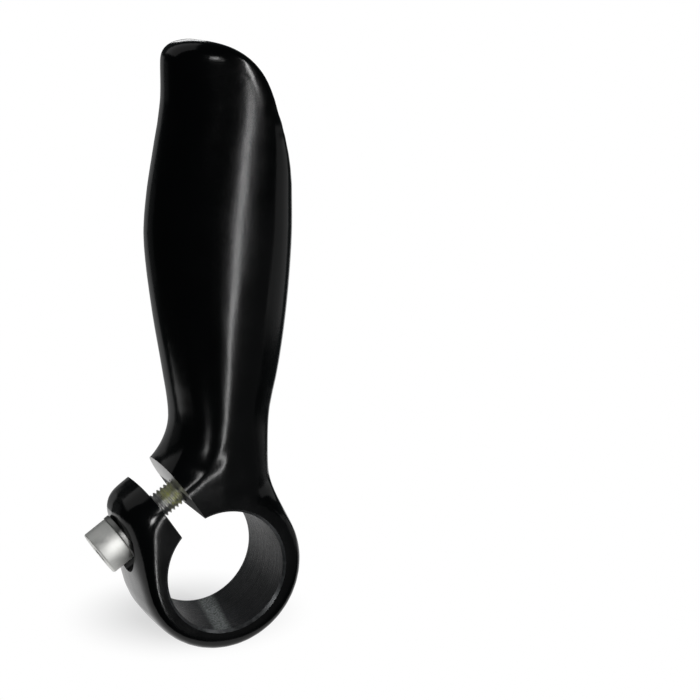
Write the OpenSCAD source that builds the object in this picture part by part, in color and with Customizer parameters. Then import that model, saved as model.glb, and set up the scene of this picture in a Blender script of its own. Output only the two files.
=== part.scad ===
// Bicycle bar end: a cast grip that rises from a split clamp ring, pinched by one cap screw.
// Origin at the centre of the clamp's bore. The bore runs along Y, the grip rises along Z,
// and the split with its screw is on the -X side. The casting is the same on both sides of Y = 0.

/* [Clamp] */
// Diameter of the handlebar that the clamp takes
bar_d = 22.2; // [19:0.1:26]
// How much larger than the bar the bore is, on the diameter
bar_play = 0.3; // [0.1:0.05:0.4]
// Wall of the ring round the bore
ring_wall = 4.4; // [3:0.1:6]
// Width of the clamp along the bore
clamp_w = 17.5; // [14:0.5:20]
// Rounding of the outer edges, measured on the end faces
edge = 1.4; // [0.6:0.1:2.2]
// Crown of the outer wall, between its middle and its edges
crown = 0.4; // [0:0.1:1]
// Bevel at both ends of the bore
bore_bevel = 0.5; // [0.2:0.1:0.9]

/* [Split] */
// Angle of the screw's axis below level
split_tilt = 33; // [26:0.5:40]
// Width of the saw cut
split_gap = 5.4; // [3.5:0.1:6]
// Distance of the cut's middle plane from the bore's centre, towards the screw's head
split_off = 0.2; // [-0.5:0.1:1]
// Material between the screw's hole and the bore
screw_to_bore = 0.95; // [0.6:0.05:1.5]
// Height of the two jaws beyond the screw's axis
jaw_reach = 6.9; // [5.6:0.1:8]
// Rounding of the outer jaw's top corner, seen from the front
jaw_corner = 3.2; // [2:0.2:6]
// Crown of the jaws' free ends, between their middle and their edges
jaw_crown = 3.8; // [0:0.2:5]

/* [Screw] */
// Thread diameter of the cap screw
screw_d = 5; // [4:0.5:6]
// Diameter of the screw's head
head_d = 8.7; // [7.5:0.1:9]
// Height of the screw's head
head_h = 4.6; // [3:0.1:6]
// Length under the head
screw_len = 20; // [18:0.5:24]
// Thickness of the washer
washer_t = 1; // [0.6:0.1:1.4]
// Outer diameter of the washer
washer_d = 9; // [8.6:0.1:9.4]
// Distance of the washer's seat from the bore's centre
seat_off = 10.2; // [9.4:0.1:11]
// Room round the washer in its pocket
pocket_play = 1.7; // [0.4:0.1:2.2]

/* [Grip] */
// Height of the grip's tip above the bore's centre
grip_top = 95.6; // [85:0.2:110]
// Half depth of the grip where it is thickest
grip_depth = 10; // [8:0.1:12]
// Half width that the grip's outline is measured in
grip_half = 13.7; // [11:0.1:16]
// Fall of the slanted top, in degrees
top_fall = 18.3; // [8:0.1:30]
// Rounding along the top
top_edge = 3.8; // [2:0.1:6]
// Height below the tip where the shoulder on the right begins
shoulder_drop = 9.4; // [5:0.2:15]
// Lean of that shoulder, in degrees
shoulder_lean = 21; // [12:0.5:30]
// Size of the fillet between the grip and the clamp
root_fillet = 5; // [1:0.5:8]

/* [Hidden] */
bore_r = (bar_d + bar_play) / 2;
ring_r = bore_r + ring_wall;
half_w = clamp_w / 2;
hole_play = 0.02 * screw_d;
clearance_r = 0.55 * screw_d;
tap_spare = 0.3 * screw_d;
hex_af = 0.8 * screw_d;
screw_bevel = 0.1 * screw_d;
screw_v = bore_r + screw_to_bore + clearance_r;
jaw_v = screw_v + jaw_reach;
head_u = seat_off + washer_t;
pocket_r = washer_d / 2 + pocket_play;
washer_hole_r = 0.53 * screw_d;
edge_depth = 2 * edge;
over = 2.5 * ring_r;
slack = 0.06 * clamp_w;
// Direction that the outer jaw's flat wall faces, and where its solid ends beyond the cut.
wall_angle = 194;
jaw_back = 0.77 * ring_r;
// Depth of the grip below the bore's centre, inside the ring.
grip_foot = 0.36 * bore_r;
// Place of the slanted top and of the shoulder, and the roundings where they meet.
fall_cut = 0.02 * grip_half;
shoulder_x = 0.78 * grip_half;
fall_round = 0.09 * grip_half;
shoulder_round = 0.36 * grip_half;
// How square the sections are: 2 is an ellipse. The right half is squarer near the clamp.
section_power = 2.3;
root_power = 3.5;
// How flat the jaws' ends are before they turn into their edges.
crown_power = 3.5;
// Shares of the root fillet and of the top rounding that are left on the flat front.
front_fillet = 0.08;
front_edge = 0.6;

// Directions in the XZ plane: along the screw towards its head, and up along the split.
along = [-cos(split_tilt), -sin(split_tilt)];
up = [-sin(split_tilt), cos(split_tilt)];
wall_out = [cos(wall_angle), sin(wall_angle)];

// Grip outline: height as a share of the tip's, then left edge, ridge and right edge as shares
// of the half width, and half depth as a share of the largest one. The ridge is where a section
// is deepest. The last row lies beyond the tip.
outline = [
    [0.00, -0.660, 0.00, 0.660, 0.80],
    [0.13, -0.660, 0.03, 0.760, 0.86],
    [0.21, -0.555, 0.03, 0.760, 0.88],
    [0.29, -0.490, 0.09, 0.815, 0.92],
    [0.38, -0.570, 0.18, 0.965, 0.96],
    [0.50, -0.700, 0.29, 1.095, 1.00],
    [0.63, -0.790, 0.45, 1.170, 1.00],
    [0.71, -0.745, 0.51, 1.175, 0.99],
    [0.80, -0.630, 0.55, 1.185, 0.96],
    [0.88, -0.525, 0.62, 1.180, 0.92],
    [0.96, -0.510, 0.62, 1.130, 0.87],
    [1.05, -0.500, 0.60, 1.070, 0.83]
];

// Smooth minimum and maximum, which leave a fillet of about the size k.
function smin(a, b, k) = let (h = max(k - abs(a - b), 0) / k) min(a, b) - h * h * k / 4;
function smax(a, b, k) = -smin(-a, -b, k);
function step01(t) = let (s = min(max(t, 0), 1)) s * s * (3 - 2 * s);

// Smooth curve through the outline's rows, column j, at height t.
function slope(i, j) =
    let (a = max(i - 1, 0), b = min(i + 1, len(outline) - 1))
    (outline[b][j] - outline[a][j]) / (outline[b][0] - outline[a][0]);
function hermite(i, j, t) =
    let (
        h = outline[i + 1][0] - outline[i][0],
        s = (t - outline[i][0]) / h,
        a = outline[i][j],
        b = outline[i + 1][j]
    )
    a + (b - a) * s * s * (3 - 2 * s)
    + h * s * (1 - s) * ((1 - s) * slope(i, j) - s * slope(i + 1, j));
function row(t, i = 0) = (i >= len(outline) - 2 || t < outline[i + 1][0]) ? i : row(t, i + 1);
function curve(j, t) = let (s = max(t, 0)) hermite(row(s), j, s);

// One level of the grip: ridge, widths to its left and right, half depth, and right power.
function level(z) =
    let (
        t = z / grip_top,
        ridge = curve(2, t) * grip_half,
        root = 1 - step01((z - ring_r) / ring_r)
    )
    [
        ridge,
        ridge - curve(1, t) * grip_half,
        curve(3, t) * grip_half - ridge,
        curve(4, t) * grip_depth,
        section_power + (root_power - section_power) * root
    ];

// Distances to the surfaces, in millimetres and negative inside.
function grip_side(x, y, s) =
    let (
        w = x > s[0] ? s[2] : s[1],
        n = x > s[0] ? s[4] : section_power
    )
    (pow(pow(abs(x - s[0]) / w, n) + pow(abs(y) / s[3], n), 1 / n) - 1) * s[3];
function grip_end(x, z) =
    let (
        flat = z - grip_top,
        fall = x * sin(top_fall) + flat * cos(top_fall) + fall_cut,
        shoulder = (x - shoulder_x) * cos(shoulder_lean) + (flat + shoulder_drop) * sin(shoulder_lean)
    )
    smax(smax(flat, fall, fall_round), shoulder, shoulder_round);
function clamp_outline(x, z) =
    let (
        u = [x, z] * along,
        v = [x, z] * up,
        wall = [x, z] * wall_out - ring_r,
        jaws = smax(max(v - jaw_v, -v, -jaw_back - u), wall, jaw_corner)
    )
    min(norm([x, z]) - ring_r, jaws);
function clamp_side(x, y, z) =
    let (
        rise = step01(([x, z] * up - bore_r / 2) / (jaw_v - bore_r / 2)),
        side = abs(y) / half_w,
        bulge = crown * side * side + jaw_crown * rise * pow(side, crown_power),
        d = clamp_outline(x, z) + bulge,
        p = d + edge,
        q = abs(y) - half_w + edge_depth
    )
    (p > 0 && q > 0) ? (norm([p / edge, q / edge_depth]) - 1) * edge : max(d, abs(y) - half_w);
function shell_side(x, y, z, s) =
    let (
        top = top_edge * (1 - (1 - front_edge) * step01(0.3 + x / grip_half)),
        grip = max(smax(grip_side(x, y, s), grip_end(x, z), top), -grip_foot - z),
        fillet = root_fillet * (1 - (1 - front_fillet) * step01(2.5 * abs(y) / half_w - 1.5))
    )
    smin(grip, clamp_side(x, y, z), fillet);

// Point of the shell on a ray, found by halving the interval again and again.
halvings = 18;
function on_ray(c, d, z, s, lo = 0, hi = 2.4 * grip_half, n = halvings) =
    n == 0 ? c + d * lo
    : let (m = (lo + hi) / 2, p = c + d * m)
      shell_side(p[0], p[1], p[2], s) < 0 ? on_ray(c, d, z, s, m, hi, n - 1)
                                          : on_ray(c, d, z, s, lo, m, n - 1);

// The shell's sections: level ones from the bore's centre up to the tip, and below the bore's
// centre half sections turned about the bore. Heights are shares of the tip's.
sides = 56;
fan = 20;
root_end = 0.285;
top_start = 0.87;
heights = concat(
    [for (t = [0 : 0.0135 : root_end]) t * grip_top],
    [for (t = [root_end + 0.02 : 0.0285 : top_start]) t * grip_top],
    [for (a = [0 : 6 : 84]) (top_start + 0.015 + (1 - top_start - 0.0152) * sin(a)) * grip_top],
    [0.9998 * grip_top]
);
// Where the rays of a level start, to the right of the bore's centre.
function middle(z) = grip_half * lookup(z / grip_top, [
    [0, 0], [0.21, 0], [0.28, 0.17], [0.63, 0.21], [0.88, 0.26], [0.96, 0.04], [1, -0.16]
]);
// Rays of a section. Round the clamp they crowd towards the section's corners.
function bent(t, e) = sign(t) * pow(abs(t), e);
function ray_dir(k, z) =
    let (
        a = 360 * k / sides - 90,
        r = step01((z - ring_r) / bore_r),
        e = 0.5 + 0.5 * r
    )
    [(ring_r - r * grip_half / 7) * bent(cos(a), e), half_w * bent(sin(a), e)];
function section(z) =
    let (s = level(z), c = [middle(z), 0, z])
    [for (k = [0 : sides - 1]) let (d = ray_dir(k, z)) on_ray(c, [d[0], d[1], 0] / norm(d), z, s)];
function half_section(a) =
    let (s = level(0))
    [for (k = [1 : sides / 2 - 1])
        let (d = ray_dir(k, 0), e = [d[0] * cos(a), d[1], -d[0] * sin(a)] / norm(d))
        on_ray([0, 0, 0], e, 0, s)];

module shell() {
    rings = [for (z = heights) section(z)];
    lower = [for (i = [1 : fan - 1]) half_section(180 * i / fan)];
    n = len(heights);
    h = sides / 2;
    pts = concat([for (r = rings) each r], [for (r = lower) each r]);
    // Column k of the fan's step i. Steps 0 and fan are the two halves of the lowest section.
    function low(i, k) =
        k == 0 ? 0
        : k == h ? h
        : i == 0 ? k
        : i == fan ? sides - k
        : n * sides + (i - 1) * (h - 1) + k - 1;
    sides_up = [
        for (i = [0 : n - 2], k = [0 : sides - 1])
            let (a = i * sides + k, b = i * sides + (k + 1) % sides)
            each [[a, a + sides, b + sides], [a, b + sides, b]]
    ];
    sides_low = [
        for (i = [0 : fan - 1], k = [0 : h - 1])
            let (a = low(i, k), b = low(i, k + 1), c = low(i + 1, k + 1), d = low(i + 1, k))
            each [if (a != d) [a, b, d], if (b != c) [b, c, d]]
    ];
    cap = [for (k = [sides - 1 : -1 : 0]) (n - 1) * sides + k];
    polyhedron(pts, concat(sides_up, sides_low, [cap]), convexity = 6);
}

// Places its children on the screw's axis, with Z towards the head, at distance u.
module on_screw(u) {
    translate([screw_v * up[0], 0, screw_v * up[1]])
        rotate([0, -90 - split_tilt, 0])
            translate([0, 0, u])
                children();
}

module bore() {
    rotate([90, 0, 0]) {
        cylinder(r = bore_r, h = clamp_w + slack, center = true, $fn = 96);
        for (s = [0, 1])
            mirror([0, 0, s])
                translate([0, 0, half_w - bore_bevel])
                    cylinder(r1 = bore_r, r2 = bore_r + 2 * bore_bevel, h = 2 * bore_bevel, $fn = 96);
    }
}

module split() {
    rotate([0, -split_tilt, 0])
        translate([-split_off - split_gap / 2, -half_w - slack, 0])
            cube([split_gap, clamp_w + 2 * slack, over]);
}

module body() {
    color([0.04, 0.04, 0.045])
        difference() {
            shell();
            bore();
            split();
            on_screw(0)
                cylinder(r = clearance_r, h = over, $fn = 48);
            on_screw(head_u - screw_len - tap_spare)
                cylinder(d = screw_d + hole_play, h = screw_len, $fn = 48);
            on_screw(seat_off)
                cylinder(r = pocket_r, h = over, $fn = 64);
        }
}

module clamp_bolt() {
    color([0.75, 0.75, 0.73])
        on_screw(head_u)
            difference() {
                union() {
                    translate([0, 0, screw_bevel - screw_len])
                        cylinder(d = screw_d, h = screw_len, $fn = 48);
                    translate([0, 0, -screw_len])
                        cylinder(d1 = screw_d - 2 * screw_bevel, d2 = screw_d, h = screw_bevel, $fn = 48);
                    cylinder(d = head_d, h = head_h - screw_bevel / 2, $fn = 64);
                    translate([0, 0, head_h - screw_bevel / 2])
                        cylinder(d1 = head_d, d2 = head_d - screw_bevel, h = screw_bevel / 2, $fn = 64);
                }
                translate([0, 0, head_h - hex_af * 0.65])
                    cylinder(d = hex_af / cos(30), h = head_h, $fn = 6);
            }
}

module washer() {
    color([0.8, 0.8, 0.8])
        on_screw(seat_off)
            difference() {
                cylinder(d = washer_d, h = washer_t, $fn = 64);
                translate([0, 0, -slack])
                    cylinder(r = washer_hole_r, h = washer_t + 2 * slack, $fn = 48);
            }
}

body();
clamp_bolt();
washer();
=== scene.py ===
"""Bicycle bar end: a black cast grip on a split clamp ring, with its cap screw and washer.

Lengths are in metres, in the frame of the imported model. The bore runs along Y through the
origin, the grip rises along Z, and the split with its screw is on the -X side.
"""
import math

import bpy
from mathutils import Matrix, Vector


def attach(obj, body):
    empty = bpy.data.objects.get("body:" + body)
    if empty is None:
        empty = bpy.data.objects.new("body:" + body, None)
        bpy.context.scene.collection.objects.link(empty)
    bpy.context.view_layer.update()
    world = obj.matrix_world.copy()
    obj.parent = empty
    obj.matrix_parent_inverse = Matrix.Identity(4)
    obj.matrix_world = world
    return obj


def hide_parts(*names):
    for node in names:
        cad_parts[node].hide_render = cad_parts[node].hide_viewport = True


MM = 0.001

# Sizes of the clamp, the split and the screw, in millimetres, as the solids have them.
BORE_RADIUS = 11.25
HALF_WIDTH = 8.75
BORE_BEVEL = 0.5
SPLIT_TILT = math.radians(33)
SPLIT_GAP = 5.4
SPLIT_OFFSET = 0.2
SCREW_RISE = 14.95
SCREW_RADIUS = 2.5
SCREW_LENGTH = 20.0
HOLE_RADIUS = 2.75
TAPPED_RADIUS = 2.55
POCKET_RADIUS = 6.2
SEAT = 10.2
WASHER_THICKNESS = 1.0
WASHER_RADIUS = 4.5
HEAD_SEAT = SEAT + WASHER_THICKNESS
HEAD_RADIUS = 4.35
HEAD_HEIGHT = 4.6
SOCKET_WIDTH = 4.0
SOCKET_DEPTH = 2.6
WASHER_HOLE_RADIUS = 2.65
# How far the tapped hole runs on beyond the screw's end.
TAP_SPARE = 1.5

# Sizes that only the visual model has, in millimetres.
PITCH = 0.8
# The thread's radius between its crests.
THREAD_ROOT = 2.02
# The height on the split, above the bore's level, from which its faces count as sawn.
SPLIT_FOOT = 5
# How close a vertex lies to a flat or a round face that it belongs to.
FLAT_TOUCH = 0.02
ROUND_TOUCH = 0.03
# The casting's skin is rebuilt from cells of this size and smoothed this many times.
SKIN_CELL = 0.4
SMOOTHING_ROUNDS = 14
# Faces that meet at less than these angles are shaded as one.
CAST_SHADING = math.radians(30)
TURNED_SHADING = math.radians(32)
# The painted highlight, a light streak at the bottom of the bore: its two edges across the bore, and
# its slant.
HIGHLIGHT_EDGES = (-0.9, 2.0)
HIGHLIGHT_SLANT = -0.17
# The height along the split up to which its faces are near-black and rough, not bare metal.
DARK_FACE_END = 15.4
# The smear of thread lock: its two ends along the screw.
SMEAR = (-2.2, 0.7)
# The floor under the ring: its height, its width and depth, and how far back its middle is.
FLOOR_LEVEL = -15.67
FLOOR_SIZE = (220, 102)
FLOOR_MIDDLE = 39

# Directions in the XZ plane: along the screw towards its head, and up along the split.
ALONG = Vector((-math.cos(SPLIT_TILT), 0, -math.sin(SPLIT_TILT)))
UP = Vector((-math.sin(SPLIT_TILT), 0, math.cos(SPLIT_TILT)))
SCREW_TURN = (0, -math.pi / 2 - SPLIT_TILT, 0)
SPLIT_TURN = (0, -SPLIT_TILT, 0)
BORE_TURN = (math.pi / 2, 0, 0)
UPRIGHT = (0, 0, 0)


# Ways of working


def screw_point(u):
    """The place on the screw's axis at distance u, in millimetres, from the bore's level."""
    return (ALONG * u + UP * SCREW_RISE) * MM


def only(*pieces):
    """Selects these pieces alone. The last one is the active one."""
    bpy.ops.object.select_all(action="DESELECT")
    for piece in pieces:
        piece.select_set(True)
    bpy.context.view_layer.objects.active = pieces[-1]


def named(name):
    piece = bpy.context.view_layer.objects.active
    piece.name = name
    piece.data.name = name
    return piece


def settle(piece):
    """Puts the piece's place and turn into its mesh."""
    only(piece)
    bpy.ops.object.transform_apply(location=True, rotation=True, scale=True)
    return piece


def rod(name, radius, length, place, turn, sides=64):
    """Cylinder in millimetres, centred at a place in metres."""
    bpy.ops.object.select_all(action="DESELECT")
    bpy.ops.mesh.primitive_cylinder_add(
        vertices=sides, radius=radius * MM, depth=length * MM, location=place, rotation=turn
    )
    return settle(named(name))


def mark(piece, elements, test):
    """Selects, in edit mode, the vertices, edges or faces whose middle passes the test."""
    only(piece)
    mesh = piece.data
    bpy.ops.object.mode_set(mode="EDIT")
    bpy.ops.mesh.select_all(action="DESELECT")
    modes = {"vertices": "VERT", "edges": "EDGE", "polygons": "FACE"}
    bpy.ops.mesh.select_mode(type=modes[elements])
    bpy.ops.object.mode_set(mode="OBJECT")
    for element in getattr(mesh, elements):
        if elements == "vertices":
            middle = element.co
        elif elements == "edges":
            middle = sum((mesh.vertices[i].co for i in element.vertices), Vector()) / 2
        else:
            middle = element.center
        element.select = bool(test(middle / MM))
    bpy.ops.object.mode_set(mode="EDIT")


def done():
    bpy.ops.object.mode_set(mode="OBJECT")


def apply_all(piece):
    only(piece)
    for modifier in list(piece.modifiers):
        bpy.ops.object.modifier_apply(modifier=modifier.name)


def combine(piece, tool, operation):
    """Cuts the tool out of the piece, adds it or keeps what both share, and drops the tool."""
    step = piece.modifiers.new(operation.lower(), "BOOLEAN")
    step.operation = operation
    step.solver = "EXACT"
    step.material_mode = "TRANSFER"
    step.object = tool
    apply_all(piece)
    bpy.data.objects.remove(tool)


def give(piece, *materials):
    piece.data.materials.clear()
    for material in materials:
        piece.data.materials.append(material)


# The finishes


def new_material(name):
    material = bpy.data.materials.new(name)
    material.use_nodes = True
    nodes = material.node_tree.nodes
    nodes.clear()
    shader = nodes.new("ShaderNodeBsdfPrincipled")
    output = nodes.new("ShaderNodeOutputMaterial")
    material.node_tree.links.new(shader.outputs["BSDF"], output.inputs["Surface"])
    return material, material.node_tree, shader


def new_group(name, inputs, outputs):
    """An empty shader node group with named inputs and outputs, all of them plain numbers."""
    group = bpy.data.node_groups.new(name, "ShaderNodeTree")
    for label, value in inputs.items():
        socket = group.interface.new_socket(label, in_out="INPUT", socket_type="NodeSocketFloat")
        socket.default_value = value
    for label in outputs:
        group.interface.new_socket(label, in_out="OUTPUT", socket_type="NodeSocketFloat")
    return group, group.nodes.new("NodeGroupInput"), group.nodes.new("NodeGroupOutput")


def math_node(tree, operation, first, second=None):
    """A Math node. Its inputs are sockets or numbers."""
    node = tree.nodes.new("ShaderNodeMath")
    node.operation = operation
    for slot, value in zip(node.inputs, (first, second)):
        if isinstance(value, bpy.types.NodeSocket):
            tree.links.new(value, slot)
        elif value is not None:
            slot.default_value = value
    return node.outputs[0]


def build_speckle():
    """Even grain all over a surface: fine orange peel, dust and blotches, by its size."""
    group, start, end = new_group("speckle", {"Per mm": 2.0, "Contrast": 1.0}, ("Mask",))
    place = group.nodes.new("ShaderNodeTexCoord")
    noise = group.nodes.new("ShaderNodeTexNoise")
    noise.inputs["Detail"].default_value = 3
    noise.inputs["Roughness"].default_value = 0.6
    scale = math_node(group, "MULTIPLY", start.outputs["Per mm"], 1000)
    group.links.new(place.outputs["Object"], noise.inputs["Vector"])
    group.links.new(scale, noise.inputs["Scale"])
    centred = math_node(group, "SUBTRACT", noise.outputs["Fac"], 0.5)
    spread = math_node(group, "MULTIPLY", centred, start.outputs["Contrast"])
    mask = math_node(group, "ADD", spread, 0.5)
    group.links.new(mask, end.inputs["Mask"])
    return group


def build_tool_marks():
    """Fine lines that a cutter leaves across one direction, uneven in depth."""
    inputs = {"Position": 0.0, "Per mm": 4.0, "Unevenness": 0.5, "Contrast": 1.0}
    group, start, end = new_group("tool_marks", inputs, ("Mask",))
    scaled = math_node(group, "MULTIPLY", start.outputs["Position"], 1000)
    turns = math_node(group, "MULTIPLY", scaled, start.outputs["Per mm"])
    lines = group.nodes.new("ShaderNodeTexNoise")
    lines.noise_dimensions = "1D"
    lines.inputs["Detail"].default_value = 4
    lines.inputs["Roughness"].default_value = 0.7
    lines.inputs["Scale"].default_value = 1
    group.links.new(turns, lines.inputs["W"])
    place = group.nodes.new("ShaderNodeTexCoord")
    patches = group.nodes.new("ShaderNodeTexNoise")
    patches.inputs["Scale"].default_value = 260
    patches.inputs["Detail"].default_value = 2
    group.links.new(place.outputs["Object"], patches.inputs["Vector"])
    fade = math_node(group, "MULTIPLY", patches.outputs["Fac"], start.outputs["Unevenness"])
    depth = math_node(group, "SUBTRACT", 1.25, fade)
    strength = math_node(group, "MULTIPLY", depth, start.outputs["Contrast"])
    centred = math_node(group, "SUBTRACT", lines.outputs["Fac"], 0.5)
    mask = math_node(group, "ADD", math_node(group, "MULTIPLY", centred, strength), 0.5)
    group.links.new(mask, end.inputs["Mask"])
    return group


SPECKLE = build_speckle()
TOOL_MARKS = build_tool_marks()


def placed(tree, group, **values):
    """The group as a node in a material, with its own values or links."""
    node = tree.nodes.new("ShaderNodeGroup")
    node.node_tree = group
    for label, value in values.items():
        slot = node.inputs[label.replace("_", " ")]
        if isinstance(value, bpy.types.NodeSocket):
            tree.links.new(value, slot)
        else:
            slot.default_value = value
    return node.outputs["Mask"]


def spread(tree, mask, low, high, into, floor=0.3, ceiling=0.7):
    """Feeds a mask between two numbers into a socket."""
    node = tree.nodes.new("ShaderNodeMapRange")
    for label, value in (
        ("From Min", floor), ("From Max", ceiling), ("To Min", low), ("To Max", high)
    ):
        node.inputs[label].default_value = value
    tree.links.new(mask, node.inputs["Value"])
    tree.links.new(node.outputs["Result"], into)


def tint(tree, mask, dark, light, into=None):
    """Mixes two colours by a mask."""
    node = tree.nodes.new("ShaderNodeMix")
    node.data_type = "RGBA"
    for slot, colour in ((node.inputs[6], dark), (node.inputs[7], light)):
        if isinstance(colour, bpy.types.NodeSocket):
            tree.links.new(colour, slot)
        else:
            slot.default_value = (*colour, 1)
    tree.links.new(mask, node.inputs[0])
    if into is not None:
        tree.links.new(node.outputs[2], into)
    return node.outputs[2]


def relief(tree, shader, *layers):
    """Bump from masks, each with its depth in millimetres, one on top of the other."""
    below = None
    for mask, depth in layers:
        node = tree.nodes.new("ShaderNodeBump")
        node.inputs["Distance"].default_value = depth * MM
        node.inputs["Strength"].default_value = 1
        tree.links.new(mask, node.inputs["Height"])
        if below is not None:
            tree.links.new(below, node.inputs["Normal"])
        below = node.outputs["Normal"]
    tree.links.new(below, shader.inputs["Normal"])


def object_axis(tree, direction):
    """How far a point lies along a direction of the object, in metres."""
    place = tree.nodes.new("ShaderNodeTexCoord")
    node = tree.nodes.new("ShaderNodeVectorMath")
    node.operation = "DOT_PRODUCT"
    node.inputs[1].default_value = direction
    tree.links.new(place.outputs["Object"], node.inputs[0])
    return node.outputs["Value"]


def band(tree, position, low, high, soft):
    """A mask that is 1 between two places along an axis, in millimetres, with soft ends."""
    sides = []
    for edge, sign in ((low, 1), (high, -1)):
        shifted = math_node(tree, "SUBTRACT", position, edge * MM)
        scaled = math_node(tree, "MULTIPLY", shifted, sign / (soft * MM))
        node = tree.nodes.new("ShaderNodeClamp")
        tree.links.new(math_node(tree, "ADD", scaled, 0.5), node.inputs["Value"])
        sides.append(node.outputs[0])
    return math_node(tree, "MULTIPLY", *sides)


def make_black_paint():
    """Satin black paint over the casting, with a fine grain and faint clouds in its gloss."""
    material, tree, shader = new_material("black_paint")
    shader.inputs["Specular IOR Level"].default_value = 0.25
    grain = placed(tree, SPECKLE, Per_mm=3.2, Contrast=1.2)
    clouds = placed(tree, SPECKLE, Per_mm=0.12, Contrast=1.6)
    tint(tree, clouds, (0.0006, 0.0007, 0.0008), (0.0012, 0.0014, 0.0016), shader.inputs["Base Color"])
    both = math_node(tree, "MULTIPLY", math_node(tree, "ADD", grain, clouds), 0.5)
    spread(tree, both, 0.12, 0.19, shader.inputs["Roughness"])
    relief(tree, shader, (clouds, 0.004), (grain, 0.0075))
    return material


def make_turned_bore():
    """The bore's dark wall, with the lines of the boring tool running round it and a painted
    highlight along its bottom, a light and grainy streak in the wall's colour."""
    material, tree, shader = new_material("turned_bore")
    shader.inputs["Specular IOR Level"].default_value = 0.22
    along_bore = object_axis(tree, (0, 1, 0))
    lines = placed(tree, TOOL_MARKS, Position=along_bore, Per_mm=1.8, Unevenness=0.9, Contrast=2.4)
    grain = placed(tree, SPECKLE, Per_mm=2.2, Contrast=1.6)
    mixed = math_node(tree, "MULTIPLY", math_node(tree, "ADD", lines, grain), 0.5)
    wall = tint(tree, lines, (0.001, 0.0012, 0.0015), (0.023, 0.025, 0.029))
    # The light, grainy streak along the bottom is a painted highlight in the wall's colour.
    across = object_axis(tree, (1, HIGHLIGHT_SLANT, 0))
    bottom = band(tree, object_axis(tree, (0, 0, 1)), -12, -8, 1)
    painted_highlight = math_node(tree, "MULTIPLY", band(tree, across, *HIGHLIGHT_EDGES, 1.1), bottom)
    flecks = placed(tree, SPECKLE, Per_mm=2.6, Contrast=2.6)
    cover = tree.nodes.new("ShaderNodeClamp")
    tree.links.new(math_node(tree, "MULTIPLY", painted_highlight, flecks), cover.inputs["Value"])
    tint(tree, cover.outputs[0], wall, (0.36, 0.39, 0.385), shader.inputs["Base Color"])
    spread(tree, mixed, 0.34, 0.52, shader.inputs["Roughness"])
    relief(tree, shader, (grain, 0.006), (lines, 0.06))
    return material


def make_sawn_aluminium():
    """The saw cut and the drilled holes: bare aluminium with the saw's marks beyond the screw,
    and near-black and rough between the screw and the bore."""
    material, tree, shader = new_material("sawn_aluminium")
    rise = object_axis(tree, UP)
    lines = placed(tree, TOOL_MARKS, Position=rise, Per_mm=5.0, Unevenness=0.7)
    grain = placed(tree, SPECKLE, Per_mm=3.0, Contrast=1.0)
    metal = tint(tree, lines, (0.32, 0.32, 0.32), (0.5, 0.5, 0.49))
    # Below a height along the split the faces turn near-black, rough and not metallic.
    bare = tree.nodes.new("ShaderNodeClamp")
    ragged = math_node(tree, "MULTIPLY", math_node(tree, "SUBTRACT", grain, 0.5), 1.5 * MM)
    beyond = math_node(tree, "SUBTRACT", math_node(tree, "ADD", rise, ragged), DARK_FACE_END * MM)
    tree.links.new(math_node(tree, "MULTIPLY", beyond, 1 / (0.6 * MM)), bare.inputs["Value"])
    tree.links.new(bare.outputs[0], shader.inputs["Metallic"])
    tint(tree, bare.outputs[0], (0.0008, 0.0009, 0.001), metal, shader.inputs["Base Color"])
    spread(tree, bare.outputs[0], 0.75, 0.4, shader.inputs["Roughness"], 0, 1)
    relief(tree, shader, (lines, 0.01))
    return material


def make_machined_edge():
    """The bevels at the ends of the bore, where the tool went through the paint."""
    material, tree, shader = new_material("machined_edge")
    grain = placed(tree, SPECKLE, Per_mm=1.2, Contrast=1.2)
    shader.inputs["Metallic"].default_value = 0.9
    tint(tree, grain, (0.05, 0.052, 0.054), (0.17, 0.175, 0.18), shader.inputs["Base Color"])
    spread(tree, grain, 0.28, 0.4, shader.inputs["Roughness"])
    relief(tree, shader, (grain, 0.004))
    return material


def make_zinc_steel(name, light, dark, rough, sealed=False):
    """Satin zinc-plated steel, turned round the screw's axis. The thread carries a smear of
    dried yellow-green thread lock."""
    material, tree, shader = new_material(name)
    along_screw = object_axis(tree, ALONG)
    lines = placed(tree, TOOL_MARKS, Position=along_screw, Per_mm=6.0, Unevenness=1.0)
    grain = placed(tree, SPECKLE, Per_mm=2.4, Contrast=1.3)
    clouds = placed(tree, SPECKLE, Per_mm=0.5, Contrast=1.6)
    worn = math_node(tree, "MULTIPLY", math_node(tree, "ADD", grain, clouds), 0.5)
    steel = tint(tree, worn, dark, light)
    spread(tree, worn, rough - 0.07, rough + 0.09, shader.inputs["Roughness"])
    if sealed:
        edge = placed(tree, SPECKLE, Per_mm=0.9, Contrast=2.2)
        zone = band(tree, along_screw, *SMEAR, 0.9)
        smear = tree.nodes.new("ShaderNodeClamp")
        raised = math_node(tree, "ADD", math_node(tree, "MULTIPLY", edge, 1.6), -0.35)
        tree.links.new(math_node(tree, "MULTIPLY", zone, raised), smear.inputs["Value"])
        cover = math_node(tree, "MULTIPLY", smear.outputs[0], 0.62)
        tint(tree, cover, steel, (0.5, 0.52, 0.07), shader.inputs["Base Color"])
        tree.links.new(math_node(tree, "SUBTRACT", 1, cover), shader.inputs["Metallic"])
    else:
        tree.links.new(steel, shader.inputs["Base Color"])
        shader.inputs["Metallic"].default_value = 1
    relief(tree, shader, (grain, 0.003), (lines, 0.002))
    return material


black_paint = make_black_paint()
turned_bore = make_turned_bore()
machined_edge = make_machined_edge()
sawn_aluminium = make_sawn_aluminium()
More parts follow.
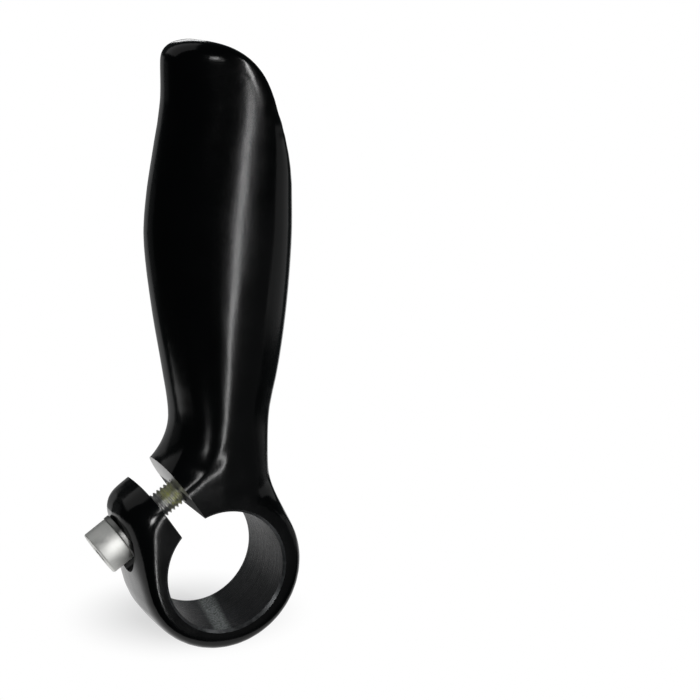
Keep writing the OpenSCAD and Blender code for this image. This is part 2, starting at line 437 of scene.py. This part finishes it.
# One zinc plating at three brightnesses: the head's lighter colour is partly painted light, and the
# darker thread and washer are partly painted shade.
head_steel = make_zinc_steel("head_steel", (0.86, 0.86, 0.835), (0.62, 0.62, 0.6), 0.6)
thread_steel = make_zinc_steel("thread_steel", (0.46, 0.46, 0.45), (0.3, 0.3, 0.295), 0.34, True)
washer_steel = make_zinc_steel("washer_steel", (0.28, 0.28, 0.27), (0.2, 0.2, 0.195), 0.42)


# The pieces


def merged_copy(node, name):
    """A copy of a CAD node's mesh, with its loose triangles merged."""
    piece = bpy.data.objects.new(name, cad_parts[node].data.copy())
    bpy.context.scene.collection.objects.link(piece)
    only(piece)
    bpy.ops.mesh.customdata_custom_splitnormals_clear()
    bpy.ops.object.mode_set(mode="EDIT")
    bpy.ops.mesh.select_all(action="SELECT")
    bpy.ops.mesh.remove_doubles(threshold=0.002 * MM)
    done()
    return piece


def hull_filler(source, name, test):
    """The filled shape between the source's vertices that pass the test."""
    piece = bpy.data.objects.new(name, source.data.copy())
    bpy.context.scene.collection.objects.link(piece)
    mark(piece, "vertices", lambda p: not test(p))
    bpy.ops.mesh.delete(type="VERT")
    bpy.ops.mesh.select_all(action="SELECT")
    bpy.ops.mesh.convex_hull()
    done()
    return piece


def split_coordinates(p):
    """Distances along the screw and up along the split."""
    return p.dot(ALONG), p.dot(UP)


def in_split_faces(p):
    u, v = split_coordinates(p)
    low = SPLIT_OFFSET - SPLIT_GAP / 2
    high = SPLIT_OFFSET + SPLIT_GAP / 2
    return v > SPLIT_FOOT and (abs(u - low) < FLAT_TOUCH or abs(u - high) < FLAT_TOUCH)


def in_pocket(p):
    u, v = split_coordinates(p)
    radius = math.hypot(v - SCREW_RISE, p.y)
    return u > SEAT - FLAT_TOUCH and radius < POCKET_RADIUS + ROUND_TOUCH


def build_casting():
    """The cast body: its outer skin made even and smooth, then machined again."""
    skin = merged_copy("body", "casting")
    fillers = [
        hull_filler(skin, "split_filler", in_split_faces),
        hull_filler(skin, "pocket_filler", in_pocket),
        rod("bore_filler", BORE_RADIUS + 1, 2 * HALF_WIDTH, (0, 0, 0), BORE_TURN),
        rod("hole_filler", HOLE_RADIUS + 0.4, 19.5, screw_point(1.2), SCREW_TURN),
    ]
    only(*fillers, skin)
    bpy.ops.object.join()
    cast = skin.modifiers.new("cast", "REMESH")
    cast.mode = "VOXEL"
    cast.voxel_size = SKIN_CELL * MM
    evened = skin.modifiers.new("evened", "SMOOTH")
    evened.factor = 0.5
    evened.iterations = SMOOTHING_ROUNDS
    apply_all(skin)
    give(skin, black_paint)

    saw_reach = 40
    split = settle_cube(
        "split_saw",
        (SPLIT_GAP, 2 * HALF_WIDTH + 4, saw_reach),
        (ALONG * SPLIT_OFFSET + UP * (saw_reach / 2)) * MM,
        SPLIT_TURN,
    )
    give(split, sawn_aluminium)
    combine(skin, split, "DIFFERENCE")
    combine(skin, bore_cutter(), "DIFFERENCE")
    drill_length = 30
    clearance = rod(
        "clearance_drill", HOLE_RADIUS, drill_length, screw_point(drill_length / 2), SCREW_TURN, 48
    )
    give(clearance, sawn_aluminium)
    combine(skin, clearance, "DIFFERENCE")
    start = HEAD_SEAT - SCREW_LENGTH - TAP_SPARE
    tap = rod(
        "tap", TAPPED_RADIUS, SCREW_LENGTH, screw_point(start + SCREW_LENGTH / 2), SCREW_TURN, 48
    )
    give(tap, sawn_aluminium)
    combine(skin, tap, "DIFFERENCE")
    facer_length = 20
    facer_middle = screw_point(SEAT + facer_length / 2)
    pocket = rod("spot_facer", POCKET_RADIUS, facer_length, facer_middle, SCREW_TURN, 96)
    give(pocket, black_paint)
    combine(skin, pocket, "DIFFERENCE")
    only(skin)
    bpy.ops.object.shade_smooth_by_angle(angle=CAST_SHADING)
    return skin


def settle_cube(name, size, place, turn):
    bpy.ops.object.select_all(action="DESELECT")
    bpy.ops.mesh.primitive_cube_add(size=MM, location=place, rotation=turn, scale=size)
    return settle(named(name))


def bore_cutter():
    """A rod that flares at both ends of the bore."""
    piece = rod("bore_cutter", BORE_RADIUS, 2 * (HALF_WIDTH - BORE_BEVEL), (0, 0, 0), BORE_TURN, 128)
    give(piece, turned_bore, machined_edge)
    flare = 1 + 2 * BORE_BEVEL / BORE_RADIUS
    for side in (-1, 1):
        mark(piece, "polygons", lambda p: p.y * side > HALF_WIDTH - BORE_BEVEL - 0.01)
        bpy.ops.mesh.extrude_region_move(
            TRANSFORM_OT_translate={"value": (0, side * 2 * BORE_BEVEL * MM, 0)}
        )
        bpy.ops.transform.resize(value=(flare, 1, flare), center_override=(0, 0, 0))
        done()
    mark(piece, "polygons", lambda p: abs(p.y) > HALF_WIDTH - BORE_BEVEL + 0.01)
    piece.active_material_index = 1
    bpy.ops.object.material_slot_assign()
    done()
    return piece


def build_thread():
    """A closed rod with a running thread, upright, longer than the screw at both ends."""
    bpy.ops.object.select_all(action="DESELECT")
    bpy.ops.mesh.primitive_plane_add(size=MM)
    thread = named("thread")
    bpy.ops.object.mode_set(mode="EDIT")
    bpy.ops.mesh.select_mode(type="VERT")
    bpy.ops.mesh.select_all(action="SELECT")
    bpy.ops.mesh.merge(type="CENTER")
    bpy.ops.transform.translate(value=(THREAD_ROOT * MM, 0, -2 * PITCH * MM))
    # The profile goes out to the crest and back, and rises by one pitch in all.
    crest = SCREW_RADIUS - 0.03 - THREAD_ROOT
    for outward, upward in ((0, 0.1), (crest, 0.3), (0, 0.12), (-crest, 0.28)):
        bpy.ops.mesh.extrude_region_move(
            TRANSFORM_OT_translate={"value": (outward * MM, 0, upward * MM)}
        )
    done()
    turns = thread.modifiers.new("turns", "SCREW")
    turns.angle = 2 * math.pi
    turns.screw_offset = PITCH * MM
    turns.iterations = round(SCREW_LENGTH / PITCH) + 4
    turns.steps = turns.render_steps = 48
    apply_all(thread)
    bpy.ops.object.mode_set(mode="EDIT")
    bpy.ops.mesh.select_all(action="SELECT")
    bpy.ops.mesh.remove_doubles(threshold=0.002 * MM)
    bpy.ops.mesh.fill_holes(sides=0)
    bpy.ops.mesh.select_all(action="SELECT")
    bpy.ops.mesh.normals_make_consistent(inside=False)
    done()
    return thread


def chamfer(piece, width, segments, test):
    """Bevels the edges of a piece whose middle passes the test."""
    mark(piece, "edges", test)
    bpy.ops.mesh.bevel(offset=width * MM, segments=segments, affect="EDGES")
    done()


def on_screw(piece, u):
    """Takes an upright piece to the screw's axis, its Z towards the head."""
    piece.rotation_euler = SCREW_TURN
    piece.location = screw_point(u)
    return settle(piece)


def build_screw():
    """Socket cap screw: a threaded shank and a round head with a hexagon socket."""
    shank_middle = (0, 0, (0.5 - SCREW_LENGTH / 2) * MM)
    shank = rod("shank", SCREW_RADIUS, SCREW_LENGTH + 1, shank_middle, UPRIGHT, 48)
    chamfer(shank, 0.5, 1, lambda p: p.z < -SCREW_LENGTH + 0.01)
    thread = build_thread()
    thread.location.z = -SCREW_LENGTH * MM
    settle(thread)
    combine(shank, thread, "INTERSECT")
    give(shank, thread_steel)
    head = rod("cap_screw", HEAD_RADIUS, HEAD_HEIGHT, (0, 0, HEAD_HEIGHT / 2 * MM), UPRIGHT, 96)
    rim = HEAD_RADIUS - 0.06
    chamfer(head, 0.35, 4, lambda p: p.z > HEAD_HEIGHT - 0.01 and p.xy.length > rim)
    chamfer(head, 0.22, 2, lambda p: p.z < 0.01 and p.xy.length > rim)
    corner_radius = SOCKET_WIDTH / math.cos(math.pi / 6) / 2
    socket_middle = (0, 0, (1.5 * HEAD_HEIGHT - SOCKET_DEPTH) * MM)
    socket = rod("socket_punch", corner_radius, HEAD_HEIGHT, socket_middle, UPRIGHT, 6)
    mark(socket, "polygons", lambda p: p.z < HEAD_HEIGHT - SOCKET_DEPTH + 0.01)
    bpy.ops.mesh.inset(thickness=0.25 * MM)
    bpy.ops.mesh.extrude_region_move(TRANSFORM_OT_translate={"value": (0, 0, -0.5 * MM)})
    bpy.ops.transform.resize(value=(0.3, 0.3, 1))
    done()
    combine(head, socket, "DIFFERENCE")
    mouth = corner_radius + 0.05
    chamfer(head, 0.15, 2, lambda p: p.z > HEAD_HEIGHT - 0.01 and p.xy.length < mouth)
    give(head, head_steel)
    combine(head, shank, "UNION")
    on_screw(head, HEAD_SEAT)
    only(head)
    bpy.ops.object.shade_smooth_by_angle(angle=TURNED_SHADING)
    return head


def build_washer():
    """Flat washer with rounded edges."""
    half = WASHER_THICKNESS / 2
    ring = rod("flat_washer", WASHER_RADIUS, WASHER_THICKNESS, (0, 0, half * MM), UPRIGHT, 96)
    hole = rod("hole_punch", WASHER_HOLE_RADIUS, 3 * WASHER_THICKNESS, (0, 0, 0), UPRIGHT)
    combine(ring, hole, "DIFFERENCE")
    chamfer(ring, 0.14, 3, lambda p: abs(p.z - half) > half - 0.01)
    give(ring, washer_steel)
    on_screw(ring, SEAT)
    only(ring)
    bpy.ops.object.shade_smooth_by_angle(angle=TURNED_SHADING)
    return ring


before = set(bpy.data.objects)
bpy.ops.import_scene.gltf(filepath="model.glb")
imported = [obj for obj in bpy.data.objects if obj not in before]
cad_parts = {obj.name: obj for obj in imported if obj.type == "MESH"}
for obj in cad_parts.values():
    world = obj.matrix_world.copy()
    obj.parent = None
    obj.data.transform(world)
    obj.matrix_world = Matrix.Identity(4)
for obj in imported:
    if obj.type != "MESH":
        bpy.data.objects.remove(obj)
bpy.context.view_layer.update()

casting = build_casting()
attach(casting, "root")
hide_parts("body")
screw = build_screw()
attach(screw, "root")
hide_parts("clamp_bolt")
washer = build_washer()
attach(washer, "root")
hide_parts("washer")


# Stage, light and camera


def away_from_part(turn, rise):
    """The direction seen from the part at this turn from the front and rise, in degrees."""
    turn, rise = math.radians(turn), math.radians(rise)
    return Vector((math.sin(turn) * math.cos(rise), -math.cos(turn) * math.cos(rise), math.sin(rise)))


def camera_direction():
    """The photograph's viewpoint: 26 degrees to the left of the front and 12 above it."""
    return away_from_part(-26, 12)


def new_camera():
    """Camera 300 mm from the middle of the picture, with 1575 pixels of focal length to the
    picture's 700."""
    sensor = 36
    middle = Vector((29.2, 0, 37)) * MM
    back = camera_direction()
    right = Vector((-back.y, back.x, 0)).normalized()
    above = back.cross(right)
    data = bpy.data.cameras.new("camera")
    data.sensor_width = sensor
    data.lens = sensor * 1575 / 700
    data.clip_start = 0.01
    camera = bpy.data.objects.new("camera", data)
    place = middle + back * 0.3
    camera.matrix_world = Matrix(
        (
            (right.x, above.x, back.x, place.x),
            (right.y, above.y, back.y, place.y),
            (right.z, above.z, back.z, place.z),
            (0, 0, 0, 1),
        )
    )
    bpy.context.scene.collection.objects.link(camera)
    bpy.context.scene.camera = camera


def area_light(name, turn, rise, distance, size, brightness, roll=0):
    """A rectangular light that faces the grip, seen from it at this turn and rise in degrees.
    Its brightness is that of its face, where 1 is white. The roll leans its top to the right."""
    away = away_from_part(turn, rise)
    data = bpy.data.lights.new(name, "AREA")
    data.shape = "RECTANGLE"
    data.size, data.size_y = size
    data.energy = brightness * math.pi * size[0] * size[1]
    light = bpy.data.objects.new(name, data)
    light.location = Vector((0, 0, 0.04)) + away * distance
    facing = away.to_track_quat("Z", "Y").to_matrix() @ Matrix.Rotation(-math.radians(roll), 3, "Z")
    light.rotation_euler = facing.to_euler()
    bpy.context.scene.collection.objects.link(light)


def mix_surfaces(tree, share, first, second, output_type):
    """Ends a node tree in a mix of two shaders, where a share of 1 shows the second alone."""
    mix = tree.nodes.new("ShaderNodeMixShader")
    output = tree.nodes.new(output_type)
    tree.links.new(share, mix.inputs[0])
    tree.links.new(first.outputs[0], mix.inputs[1])
    tree.links.new(second.outputs[0], mix.inputs[2])
    tree.links.new(mix.outputs[0], output.inputs["Surface"])


def build_floor():
    """Pale floor under the ring. Far from the part it goes over into the white background."""
    bpy.ops.object.select_all(action="DESELECT")
    bpy.ops.mesh.primitive_plane_add(size=MM, location=(0, FLOOR_MIDDLE * MM, FLOOR_LEVEL * MM))
    floor = named("floor")
    floor.scale = (*FLOOR_SIZE, 1)
    settle(floor)
    material = bpy.data.materials.new("pale_floor")
    material.use_nodes = True
    tree = material.node_tree
    tree.nodes.clear()
    plain = tree.nodes.new("ShaderNodeBsdfDiffuse")
    plain.inputs["Color"].default_value = (0.85, 0.85, 0.85, 1)
    white = tree.nodes.new("ShaderNodeEmission")
    path = tree.nodes.new("ShaderNodeLightPath")
    seen = math_node(tree, "ADD", path.outputs["Is Camera Ray"], path.outputs["Is Glossy Ray"])
    seen = math_node(tree, "ADD", seen, path.outputs["Is Transmission Ray"])
    place = tree.nodes.new("ShaderNodeTexCoord")
    distance = tree.nodes.new("ShaderNodeVectorMath")
    distance.operation = "DISTANCE"
    distance.inputs[1].default_value = (0, 14 * MM, FLOOR_LEVEL * MM)
    tree.links.new(place.outputs["Object"], distance.inputs[0])
    far = tree.nodes.new("ShaderNodeMapRange")
    far.interpolation_type = "SMOOTHSTEP"
    for label, value in (("From Min", 0.004), ("From Max", 0.026), ("To Min", 0.6), ("To Max", 1)):
        far.inputs[label].default_value = value
    tree.links.new(distance.outputs["Value"], far.inputs["Value"])
    share = math_node(tree, "MULTIPLY", seen, far.outputs["Result"])
    mix_surfaces(tree, share, plain, white, "ShaderNodeOutputMaterial")
    give(floor, material)


def build_world():
    """White behind the part, a little wider than the picture, and a dim room round it. The
    camera sees white wherever it looks, and reflections show the white behind the part."""
    world = bpy.data.worlds.new("studio")
    bpy.context.scene.world = world
    world.use_nodes = True
    tree = world.node_tree
    tree.nodes.clear()
    room = tree.nodes.new("ShaderNodeBackground")
    room.inputs["Color"].default_value = (0.026, 0.03, 0.031, 1)
    white = tree.nodes.new("ShaderNodeBackground")
    white.inputs["Color"].default_value = (1, 1, 1, 1)
    place = tree.nodes.new("ShaderNodeTexCoord")
    behind = tree.nodes.new("ShaderNodeVectorMath")
    behind.operation = "DOT_PRODUCT"
    behind.inputs[1].default_value = -camera_direction()
    tree.links.new(place.outputs["Generated"], behind.inputs[0])
    backdrop = tree.nodes.new("ShaderNodeMapRange")
    backdrop.interpolation_type = "SMOOTHSTEP"
    backdrop.inputs["From Min"].default_value = math.cos(math.radians(22))
    backdrop.inputs["From Max"].default_value = math.cos(math.radians(14))
    tree.links.new(behind.outputs["Value"], backdrop.inputs["Value"])
    path = tree.nodes.new("ShaderNodeLightPath")
    shown = math_node(tree, "ADD", path.outputs["Is Glossy Ray"], path.outputs["Is Transmission Ray"])
    shown = math_node(tree, "MULTIPLY", shown, backdrop.outputs["Result"])
    share = math_node(tree, "ADD", path.outputs["Is Camera Ray"], shown)
    mix_surfaces(tree, share, room, white, "ShaderNodeOutputWorld")


new_camera()
build_floor()
build_world()
# Turn and rise in degrees, distance and size in metres, brightness, and roll where it has one.
area_light("strip", 11.5, -9, 0.8, (0.02, 0.52), 46, 15)
area_light("upper_strip", 34, 26, 0.8, (0.034, 0.6), 42, 40)
area_light("front_spot", -11, 23, 0.8, (0.14, 0.1), 14)
area_light("clamp_spot", -35, -38, 0.0427, (0.006, 0.0065), 24)
area_light("right_glow", 80, -6, 0.6, (0.6, 0.24), 0.42)
area_light("front_fill", 28, -16, 0.6, (0.66, 0.26), 0.1)
area_light("back_left", -168, -5, 0.5, (0.26, 0.3), 0.28)
area_light("left_fade", -138, -3, 0.5, (0.2, 0.2), 0.05)
area_light("back_right", 163, 24, 0.5, (0.09, 0.1), 2.5)
area_light("overhead", -125, 52, 0.8, (0.9, 0.9), 0.5)

for name in ("Cube", "Light", "Camera"):
    if name in bpy.data.objects:
        bpy.data.objects.remove(bpy.data.objects[name])

bpy.context.scene.view_settings.view_transform = "Standard"
